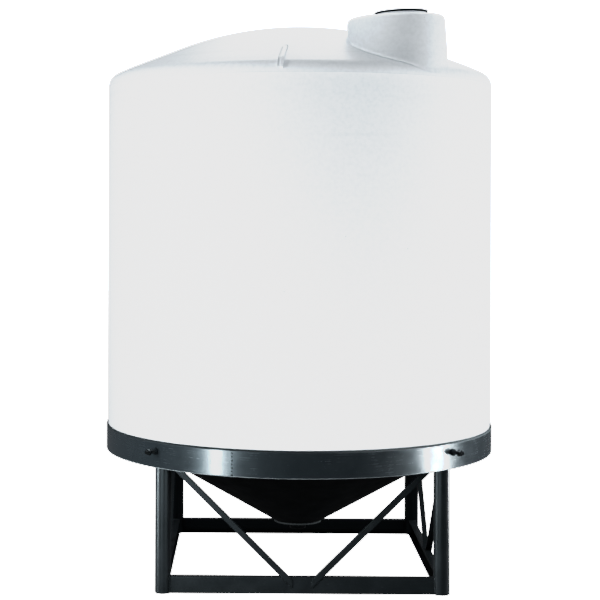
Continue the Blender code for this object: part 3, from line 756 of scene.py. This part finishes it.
def roof_line(inset):
    """The roof's outline from the wall's top to the centre line: shoulder arc, straight slope, crown arc.

    Where shoulder and slope meet, the outline is eased: lowered by a bell curve of the run from that joint.
    """
    end = math.pi / 2 - ROOF_SLOPE
    shoulder = (TANK_RADIUS - SHOULDER_RADIUS, WALL_TOP)
    low = arc(shoulder, SHOULDER_RADIUS, 0.0, end, 2)[-1]
    crown_z = low[1] + (low[0] - CROWN_START) * math.tan(ROOF_SLOPE)
    crown_radius = CROWN_START / math.sin(ROOF_SLOPE)
    crown = (0.0, crown_z - crown_radius * math.cos(ROOF_SLOPE))
    curve = arc(shoulder, SHOULDER_RADIUS - inset, 0.0, end, SHOULDER_ROWS)
    angle = np.concatenate([np.linspace(0.0, end, SHOULDER_ROWS), np.full(SLOPE_ROWS, end)])
    slope_run = np.linspace(0.0, EASE_REACH * EASE_RUN, SLOPE_ROWS + 1)[1:]
    run = np.concatenate([(angle[:SHOULDER_ROWS] - end) * SHOULDER_RADIUS, slope_run])
    slope = curve[-1] + slope_run[:, None] * np.array([-math.cos(ROOF_SLOPE), math.sin(ROOF_SLOPE)])
    lowered = EASE_DEPTH * np.exp(-(run / EASE_RUN) ** 2)
    eased = np.concatenate([curve, slope]) - lowered[:, None] * np.stack([np.cos(angle), np.sin(angle)], -1)
    return np.concatenate([eased, arc(crown, crown_radius - inset, end, math.pi / 2, CROWN_ROWS)])


ROOF_OUTER = roof_line(0.0)
roof_section = np.concatenate([ROOF_OUTER, roof_line(SHELL_THICKNESS)[::-1]])
make_piece("moulded_roof", [(turned(roof_section, SHELL_TURN), True)], POLYETHYLENE, "tank_roof")


# Manway neck: moulded with the tank, a little tapered and leaning, with a round top edge and a filleted foot.
# Its flat top carries a short threaded collar for the lid, off its middle.
NECK_COLUMNS = 256
NECK_BASE = np.array([0.526, -0.680, 2.980])
NECK_LEAN = math.radians(2.2)
NECK_BASE_RADIUS = 0.276
NECK_TOP_RADIUS = 0.268
NECK_HEIGHT = 0.211
NECK_EDGE = 0.022
NECK_EDGE_ROWS = 12
NECK_WALL_ROWS = 24
NECK_FILLET = 0.017
FACE_BELOW = 0.3
FACE_SAMPLES = 6000
FOOT_SEARCH = (-0.12, 0.06)
FOOT_TRIALS = 400
FOOT_SMOOTHING = 9
FOOT_PROBE = 0.01
FOOT_ROWS = 14
FOOT_PULL = 1.6
FOOT_BEAD = 0.0035
COLLAR_OFFSET = 0.031
COLLAR_RADIUS = 0.140
COLLAR_BORE = 0.126
COLLAR_SINK = 0.001
COLLAR_EDGE = 0.002
LID_TOP = 0.036
LID_PLATE = 0.006
COLLAR_HEIGHT = LID_TOP - LID_PLATE - FIT_GAP


def neck_grid(radius, height, offset=0.0):
    """Rings about the neck's axis: radius and height arrays (rows, columns), with a step to the right."""
    turn = full_turn(NECK_COLUMNS)
    x = offset + radius * np.sin(turn)
    y = -radius * np.cos(turn)
    lean_cos, lean_sin = math.cos(NECK_LEAN), math.sin(NECK_LEAN)
    return NECK_BASE + np.stack(
        [lean_cos * x - lean_sin * height, y + 0 * height, lean_sin * x + lean_cos * height], -1
    )


def neck_radius(height):
    """The neck's taper: its radius at a height over its base, straight below that."""
    return NECK_BASE_RADIUS + (NECK_TOP_RADIUS - NECK_BASE_RADIUS) / NECK_HEIGHT * np.maximum(height, 0.0)


def nearest_on_tank(points):
    """The closest points of the tank's outer face to some points, with the face's normals there.

    The outline is sampled finely, and each point takes the sample nearest to it in its own half plane.
    """
    outline = np.concatenate([[(TANK_RADIUS, WALL_TOP - FACE_BELOW)], ROOF_OUTER])
    run = run_along(outline)
    fine = np.linspace(0.0, run[-1], FACE_SAMPLES)
    outline = np.stack([np.interp(fine, run, outline[:, 0]), np.interp(fine, run, outline[:, 1])], -1)
    ahead = np.gradient(outline, axis=0)
    normal = unit(np.stack([ahead[:, 1], -ahead[:, 0]], -1))
    radius = np.hypot(points[:, 0], points[:, 1])
    best = np.hypot(radius[:, None] - outline[:, 0], points[:, 2, None] - outline[:, 1]).argmin(1)
    direction = points[:, :2] / radius[:, None]
    place = np.concatenate([direction * outline[best, :1], outline[best, 1:]], 1)
    return place, np.concatenate([direction * normal[best, :1], normal[best, 1:]], 1)


def along_face(vectors, normal):
    """The part of vectors that lies in a face with these normals, brought to length 1."""
    return unit(vectors - (vectors * normal).sum(1)[:, None] * normal)


def neck_foot():
    """Rows of the fillet: a Hermite curve at each turn, down the neck's wall and out onto the tank's face.

    It leaves the wall straight down and meets the tank's face along the face, so both joints are smooth.
    """
    trial = np.linspace(*FOOT_SEARCH, FOOT_TRIALS)[:, None] * np.ones(NECK_COLUMNS)
    wall = neck_grid(neck_radius(trial), trial)
    radius = np.hypot(wall[..., 0], wall[..., 1])
    roof_z = np.interp(radius, ROOF_OUTER[::-1, 0], ROOF_OUTER[::-1, 1])
    over = wall[..., 2] - np.where(radius < TANK_RADIUS, roof_z, WALL_TOP)
    meet = trial[np.abs(over).argmin(0), 0]
    wrap = FOOT_SMOOTHING // 2
    kernel = np.ones(FOOT_SMOOTHING) / FOOT_SMOOTHING
    meet = np.convolve(np.concatenate([meet[-wrap:], meet, meet[:wrap]]), kernel, "valid")
    top = meet + NECK_FILLET
    start = neck_grid(neck_radius(top)[None], top[None])[0]
    joint = neck_grid(neck_radius(meet)[None], meet[None])[0]
    away = neck_grid(neck_radius(meet)[None] + FOOT_PROBE, meet[None])[0] - joint
    away = along_face(away, nearest_on_tank(joint)[1])
    end, normal = nearest_on_tank(joint + away * NECK_FILLET)
    leave = along_face(away, normal)
    share = np.linspace(0.0, 1.0, FOOT_ROWS)[:, None, None]
    curve = (
        (2 * share ** 3 - 3 * share ** 2 + 1) * start
        + (share ** 3 - 2 * share ** 2 + share) * (joint - start) * FOOT_PULL
        + (3 * share ** 2 - 2 * share ** 3) * end
        + (share ** 3 - share ** 2) * leave * NECK_FILLET * FOOT_PULL
        + normal * FOOT_BEAD * share ** 2
    )
    skirt = end - leave * FOOT_BEAD - normal * FOOT_BEAD / 2
    return top, np.concatenate([curve, skirt[None], (skirt - normal * FOOT_BEAD * 2)[None]])


foot_top, foot_rows = neck_foot()
ones = np.ones((1, NECK_COLUMNS))
edge_centre = (NECK_TOP_RADIUS - NECK_EDGE, NECK_HEIGHT - NECK_EDGE)
top_edge = arc(edge_centre, NECK_EDGE, math.pi / 2, 0.0, NECK_EDGE_ROWS)
share = np.linspace(0.0, 1.0, NECK_WALL_ROWS)[1:-1, None]
side_heights = edge_centre[1] * (1 - share) + foot_top * share
inner_top = (NECK_HEIGHT - SHELL_THICKNESS) * ones
neck_rows = np.concatenate([
    neck_grid(0.0 * ones, NECK_HEIGHT * ones),
    neck_grid(top_edge[:, :1] * ones, top_edge[:, 1:] * ones),
    neck_grid(neck_radius(side_heights), side_heights),
    foot_rows,
    neck_grid((NECK_BASE_RADIUS - SHELL_THICKNESS) * ones, foot_top[None] - 2 * NECK_FILLET),
    neck_grid((NECK_TOP_RADIUS - SHELL_THICKNESS) * ones, inner_top),
    neck_grid(0.0 * ones, inner_top),
])
collar_low, collar_high = NECK_HEIGHT - COLLAR_SINK, NECK_HEIGHT + COLLAR_HEIGHT
collar_outline = rounded(
    [(COLLAR_BORE, collar_low), (COLLAR_RADIUS, collar_low), (COLLAR_RADIUS, collar_high),
     (COLLAR_BORE, collar_high)],
    [FIT_GAP, FIT_GAP, COLLAR_EDGE, COLLAR_EDGE],
)
collar = neck_grid(collar_outline[:, :1] * ones, collar_outline[:, 1:] * ones, COLLAR_OFFSET)
make_piece("moulded_neck", [neck_rows, (collar, True)], POLYETHYLENE, "manway_neck")


# Screw lid: moulded black polypropylene, with a skirt outside the collar and grip ribs all round it.
# Its top is a shallow dish inside a raised rim, and it screws down on the collar.
LID_RADIUS = 0.148
LID_SKIRT_LOW = 0.023
LID_CLEARANCE = 0.0015
SKIRT_EDGE = 0.001
LID_EDGE = 0.003
LID_EDGE_MIDDLE = 0.0009
LID_RIM = 0.016
LID_DISH = 0.002
GRIP_COUNT = 48
GRIP_DEPTH = 0.0022
GRIP_SHARPNESS = 3


def lid_grid():
    """The lid's outline turned about the collar's axis; on the skirt the radius dips between grip ribs."""
    skirt, plate, floor_z = COLLAR_RADIUS + LID_CLEARANCE, LID_TOP - LID_PLATE, LID_TOP - LID_DISH
    outline = np.array([
        (0.0, plate), (skirt, plate), (skirt, LID_SKIRT_LOW), (LID_RADIUS - SKIRT_EDGE, LID_SKIRT_LOW),
        (LID_RADIUS, LID_SKIRT_LOW + SKIRT_EDGE), (LID_RADIUS, LID_TOP - LID_EDGE),
        (LID_RADIUS - LID_EDGE_MIDDLE, LID_TOP - LID_EDGE_MIDDLE), (LID_RADIUS - LID_EDGE, LID_TOP),
        (LID_RADIUS - LID_RIM, LID_TOP), (LID_RADIUS - LID_RIM - LID_EDGE, floor_z), (0.0, floor_z),
    ])
    gripped = np.zeros((len(outline), 1))
    gripped[3:8] = 1.0
    dip = GRIP_DEPTH * (0.5 + 0.5 * np.cos(full_turn(NECK_COLUMNS) * GRIP_COUNT)) ** GRIP_SHARPNESS
    return neck_grid(outline[:, :1] - gripped * dip, NECK_HEIGHT + outline[:, 1:] * ones, COLLAR_OFFSET)


make_piece("screw_lid", [lid_grid()], BLACK_PLASTIC, "manway_lid")


# Lifting ribs: moulded with the roof, at the front and behind, from the slope down round the shoulder.
# A rope over the rib is held by a small stop at its upper end; the lower end is cut off nearly square.
RIB_AZIMUTH = math.radians(-6.8)
RIB_INNER = 0.862
RIB_WIDTH = 0.034
RIB_HEIGHT = 0.015
RIB_FOOT_ANGLE = math.radians(11.4)
RIB_SINK = 0.0050
RIB_RAMP = 0.020
RIB_END = 0.005
RIB_ROWS = 130
RIB_COLUMNS = 81
BAR_SQUARENESS = 5.0
BAR_TOP = (0.0050, 0.0110)
BAR_FOOT = (0.0075, 0.0090)
LIP_OFFSET = -0.0150
LIP_HALF = 0.0022
LIP_HEIGHT = 0.011
FLANK_SQUARENESS = 6
GROOVE_FLOOR = 0.009
SKIN_HEIGHT = 0.0010
STOP_LENGTH = 0.018
STOP_HEIGHT = 0.010
STOP_GAP = 0.010
SHADE_SOFTNESS = 0.002
FOOT_FADE = 0.65
UPHILL = np.array([-math.cos(ROOF_SLOPE), math.sin(ROOF_SLOPE)])


def clamped(share):
    """A share held between 0 and 1."""
    return np.clip(share, 0.0, 1.0)


def rib_axes(azimuth):
    """Unit vectors of a rib: outwards from the centre line, and across it."""
    sine, cosine = math.sin(azimuth), math.cos(azimuth)
    return np.array([sine, -cosine, 0.0]), np.array([cosine, sine, 0.0])


def lifting_rib(azimuth):
    """Rings along the roof's own line, each the rib's height over its width, along the roof's normal.

    Across the width the height is a flat-topped bar, a shallow groove and a thin lip. Along the run it is a
    half sine for the stop, nothing for the gap, a quick rise, and a fall at the foot, where the lip closes
    the groove.
    """
    steep = math.pi / 2 - ROOF_SLOPE
    centre = np.array([TANK_RADIUS - SHOULDER_RADIUS, WALL_TOP])
    slope_top = centre + SHOULDER_RADIUS * np.array([math.cos(steep), math.sin(steep)])
    slope_run = (slope_top[0] - RIB_INNER) / math.cos(ROOF_SLOPE)
    run = np.linspace(0.0, slope_run + SHOULDER_RADIUS * (steep - RIB_FOOT_ANGLE), RIB_ROWS)
    angle = steep - np.maximum(run - slope_run, 0.0) / SHOULDER_RADIUS
    normal = np.stack([np.cos(angle), np.sin(angle)], -1)
    line = centre + SHOULDER_RADIUS * normal + np.maximum(slope_run - run, 0.0)[:, None] * UPHILL
    stop = STOP_HEIGHT * np.sin(math.pi * clamped(run / STOP_LENGTH))
    rise = clamped((run - STOP_LENGTH - STOP_GAP) / RIB_RAMP) ** 0.5
    fall = clamped((run[-1] - run) / RIB_END) ** 0.5
    lower = (run / run[-1])[:, None]
    middle = BAR_TOP[0] * (1 - lower) + BAR_FOOT[0] * lower
    half = BAR_TOP[1] * (1 - lower) + BAR_FOOT[1] * lower
    wide = np.linspace(-RIB_WIDTH / 2, RIB_WIDTH / 2, RIB_COLUMNS)
    bar = clamped(1.0 - np.abs((wide - middle) / half) ** BAR_SQUARENESS) ** (1 / BAR_SQUARENESS)
    lip = clamped(1.0 - ((wide - LIP_OFFSET) / LIP_HALF) ** 2) ** 0.5
    closed = clamped(1.0 - np.abs(run[-1] - RIB_END - run) / RIB_END)[:, None] ** 0.5
    flank = clamped(1.0 - np.abs(2 * wide / RIB_WIDTH) ** FLANK_SQUARENESS) ** 0.5
    low_part = np.maximum(np.maximum(lip, closed) * LIP_HEIGHT, flank * GROOVE_FLOOR)
    height = np.maximum(bar * RIB_HEIGHT, low_part) * (rise * fall)[:, None]
    height = np.maximum(np.maximum(height, bar * stop[:, None]), flank * SKIN_HEIGHT)
    height[:, [0, -1]] = 0.0
    tall = np.concatenate([height, np.full_like(height, -RIB_SINK)], 1)
    wide = np.concatenate([wide, wide[::-1]])
    section = line[:, None, :] + normal[:, None, :] * tall[..., None]
    radial, side = rib_axes(azimuth)
    return section[..., :1] * radial + wide[None, :, None] * side + section[..., 1:] * UP


def rib_painted_shade(piece, azimuth):
    """Painted shade of the groove and of the gap behind the stop, which the moulded skin shows as dark.

    It is 1 across the gap and between the lip and the bar, each with a soft edge, and fades towards the foot.
    """
    radial, side = rib_axes(azimuth)
    places = vertex_places(piece)
    outwards, wide = places @ radial, places @ side
    lower = clamped((outwards - RIB_INNER) / (TANK_RADIUS - RIB_INNER))
    edge = (BAR_TOP[0] - BAR_TOP[1]) * (1 - lower) + (BAR_FOOT[0] - BAR_FOOT[1]) * lower
    stop_end = RIB_INNER + STOP_LENGTH * math.cos(ROOF_SLOPE)
    gap_end = stop_end + (STOP_GAP + RIB_RAMP / 4) * math.cos(ROOF_SLOPE)
    in_groove = clamped(np.minimum(wide - LIP_OFFSET, edge + SHADE_SOFTNESS - wide) / SHADE_SOFTNESS)
    in_gap = clamped(np.minimum(outwards - stop_end, gap_end - outwards) / SHADE_SOFTNESS + 1.0)
    return np.maximum(in_groove * (outwards > gap_end) * (1.0 - FOOT_FADE * lower), in_gap * (wide > edge))


# Each rib's groove and the gap behind its stop get painted shade.
for end, azimuth in (("front", RIB_AZIMUTH), ("rear", RIB_AZIMUTH + math.pi)):
    rib = make_piece("moulded_rib_" + end, [lifting_rib(azimuth)], POLYETHYLENE, "lifting_rib_" + end)
    lay_grime_and_painted_shade(rib, rib_painted_shade(rib, azimuth))


# Floor: a plain pale studio floor, lit so brightly that it runs into the background.
# It is hidden from the object's own light, as on a raised sheet of glass, so the underside stays dark.
FLOOR_HALF = 30.0
STUDIO_WHITE = 3.6
floor_mesh = bpy.data.meshes.new("studio_floor")
floor_corners = [(x * FLOOR_HALF, y * FLOOR_HALF, 0) for x, y in ((-1, -1), (1, -1), (1, 1), (-1, 1))]
floor_mesh.from_pydata(floor_corners, [], [(0, 1, 2, 3)])
floor = add_object("studio_floor", floor_mesh)
floor_mesh.materials.append(new_material(
    "white_studio_floor", Base_Color=to_linear("#f2f2f2"), Roughness=0.9,
    Emission_Color=to_linear("#ffffff"), Emission_Strength=STUDIO_WHITE,
)[0])
floor.visible_diffuse = False
floor.visible_glossy = False


# Background: white for the camera, so that the floor runs into it, and a dark room for everything that the
# object reflects.
ROOM_LIGHT = 0.11
BACKGROUND_EXTRA = 0.7
world = bpy.data.worlds.new("dark_studio")
bpy.context.scene.world = world
world.use_nodes = True
room = world.node_tree
camera_ray = room.nodes.new("ShaderNodeLightPath")
level = room.nodes.new("ShaderNodeMapRange")
level.inputs["To Min"].default_value = ROOM_LIGHT
level.inputs["To Max"].default_value = STUDIO_WHITE + BACKGROUND_EXTRA
room.links.new(camera_ray.outputs["Is Camera Ray"], level.inputs["Value"])
room.links.new(level.outputs[0], room.nodes["Background"].inputs["Strength"])
room.nodes["Background"].inputs["Color"].default_value = to_linear("#f2f8ff")


# Lights: soft boxes at the left, the right, in front, over and behind the tank give the plain light, and
# narrow strips give the paint its bright lines. Most light only some pieces, as with flags in a studio:
# what stands behind the stand's front gets light only from above and behind, so it stays nearly black.
STRIP_DISTANCE = 4.2
STAND = ("pipe_leg_", "channel_beam_", "angle_brace_", "welds_")
SHADED = tuple(kind + "rear" for kind in STAND) + ("sheet_cone", "outlet_body", "welds_under_cone")
LEFT_SIDE = ("channel_beam_left", "angle_brace_left", "welds_left")
RIGHT_SIDE = ("channel_beam_right", "angle_brace_right", "welds_right")


def soft_box(name, azimuth, distance, height, aim, size, power, only=None, diffuse=True, glossy=False):
    """A rectangle of light at an azimuth and distance from the axis, turned to a height on the axis."""
    light = bpy.data.lights.new(name, "AREA")
    light.shape = "RECTANGLE"
    light.size, light.size_y = size
    light.energy = power
    lamp = add_object(name, light)
    turn = math.radians(azimuth)
    lamp.location = (distance * math.sin(turn), -distance * math.cos(turn), height)
    lamp.rotation_euler = (math.pi / 2 - math.atan2(height - aim, distance), 0.0, turn)
    lamp.visible_camera = False
    lamp.visible_diffuse = diffuse
    lamp.visible_glossy = glossy
    if only:
        lamp.light_linking.receiver_collection = only


def strip(name, azimuth, height, size, power, only):
    """A level soft box for highlights only."""
    soft_box(name, azimuth, STRIP_DISTANCE, height, height, size, power, only, diffuse=False, glossy=True)


def pieces_named(group_name, beginnings, but=()):
    """A collection of the pieces whose names begin in one of some ways, for a lamp that lights only them."""
    group = bpy.data.collections.new(group_name)
    for piece in bpy.context.scene.objects:
        if piece.type == "MESH" and piece.name.startswith(beginnings) and not piece.name.startswith(but):
            group.objects.link(piece)
    return group


shell_pieces = pieces_named("lit_as_shell", ("moulded_wall", "moulded_roof", "moulded_cone", "moulded_rib"))
neck_pieces = pieces_named("lit_as_neck", ("moulded_neck", "screw_lid"))
ring_pieces = pieces_named("lit_as_ring", ("rolled_band",))
stand_pieces = pieces_named("lit_as_stand", STAND, SHADED + LEFT_SIDE + RIGHT_SIDE)
left_leg = pieces_named("lit_as_left_leg", ("pipe_leg_front_left",))
right_leg = pieces_named("lit_as_right_leg", ("pipe_leg_front_right",))
from_left = pieces_named("lit_from_left", ("",), SHADED + RIGHT_SIDE)
from_right = pieces_named("lit_from_right", ("",), SHADED + LEFT_SIDE)
from_front = pieces_named("lit_from_front", ("",), SHADED + LEFT_SIDE + RIGHT_SIDE)
soft_box("left_soft_box", -54, 4.4, 1.90, 1.90, (1.6, 3.2), 205, from_left)
soft_box("right_soft_box", 80, 4.4, 1.90, 1.90, (1.6, 3.2), 205, from_right)
soft_box("front_soft_box", 14, 4.6, 2.6, 2.9, (2.0, 2.0), 22, from_front)
soft_box("floor_reflector", 8, 2.9, 0.5, 3.0, (3.0, 1.0), 63, shell_pieces)
soft_box("overhead_neck_box", -8, 0.9, 6.4, 2.9, (3.0, 2.0), 110, neck_pieces)
soft_box("overhead_shell_box", -8, 0.9, 6.4, 2.9, (3.0, 2.0), 52, shell_pieces)
soft_box("top_soft_box", 164, 3.0, 6.2, 2.9, (4.5, 2.6), 185, glossy=True)
soft_box("rear_soft_box", 170, 6.0, 2.0, 1.5, (3.0, 3.0), 120)
strip("left_ring_strip", -42.8, 1.2, (0.26, 2.4), 315, ring_pieces)
strip("right_ring_strip", 74.0, 1.2, (0.70, 2.4), 930, ring_pieces)
strip("left_stand_strip", -68, 1.0, (0.90, 2.4), 480, stand_pieces)
strip("front_stand_strip", -20, 0.8, (1.60, 1.6), 110, stand_pieces)
strip("right_stand_strip", 104, 1.0, (1.40, 2.4), 650, right_leg)
strip("left_leg_strip", 30, 1.0, (2.60, 2.4), 150, left_leg)


# Film: the camera's response is straight up to a light grey, then nearly flat, so that the bright wall keeps
# one tone a little below the white of the background.
RESPONSE_WHITE = 3.4
RESPONSE = [(0.0, 0.0), (0.62, 0.62), (0.95, 0.790), (1.4, 0.8080), (2.4, 0.8180), (2.9, 0.88), (3.4, 1.0)]
COMBINED = 3
view = bpy.context.scene.view_settings
view.view_transform = "Standard"
view.use_curve_mapping = True
view.curve_mapping.white_level = (RESPONSE_WHITE, RESPONSE_WHITE, RESPONSE_WHITE)
curve = view.curve_mapping.curves[COMBINED]
while len(curve.points) < len(RESPONSE):
    curve.points.new(0.5, 0.5)
for point, (light, tone) in zip(curve.points, RESPONSE):
    point.location = (light / RESPONSE_WHITE, tone)
    point.handle_type = "AUTO_CLAMPED"
curve.points[0].handle_type = "VECTOR"
view.curve_mapping.update()


# Camera: level, a little left of the middle and turned left, with the frame shifted onto the tank.
# Its place, turn and focal length are fitted to the outlines of the photograph.
FOCAL_PIXELS = 1482.7
PICTURE_SIZE = 600
SENSOR_WIDTH = 36.0
CAMERA_PLACE = (-0.2890, -8.9788, 2.1133)
CAMERA_TURN = 0.0147
CAMERA_ROLL = 0.0029
PRINCIPAL_X, PRINCIPAL_Y = 229.0, 210.85
camera_data = bpy.data.cameras.new("studio_camera")
camera_data.sensor_width = SENSOR_WIDTH
camera_data.lens = SENSOR_WIDTH * FOCAL_PIXELS / PICTURE_SIZE
camera_data.shift_x = 0.5 - PRINCIPAL_X / PICTURE_SIZE
camera_data.shift_y = PRINCIPAL_Y / PICTURE_SIZE - 0.5
camera = add_object("studio_camera", camera_data)
camera.location = CAMERA_PLACE
camera.rotation_mode = "XYZ"
camera.rotation_euler = (math.pi / 2, -CAMERA_ROLL, CAMERA_TURN)
bpy.context.scene.camera = camera
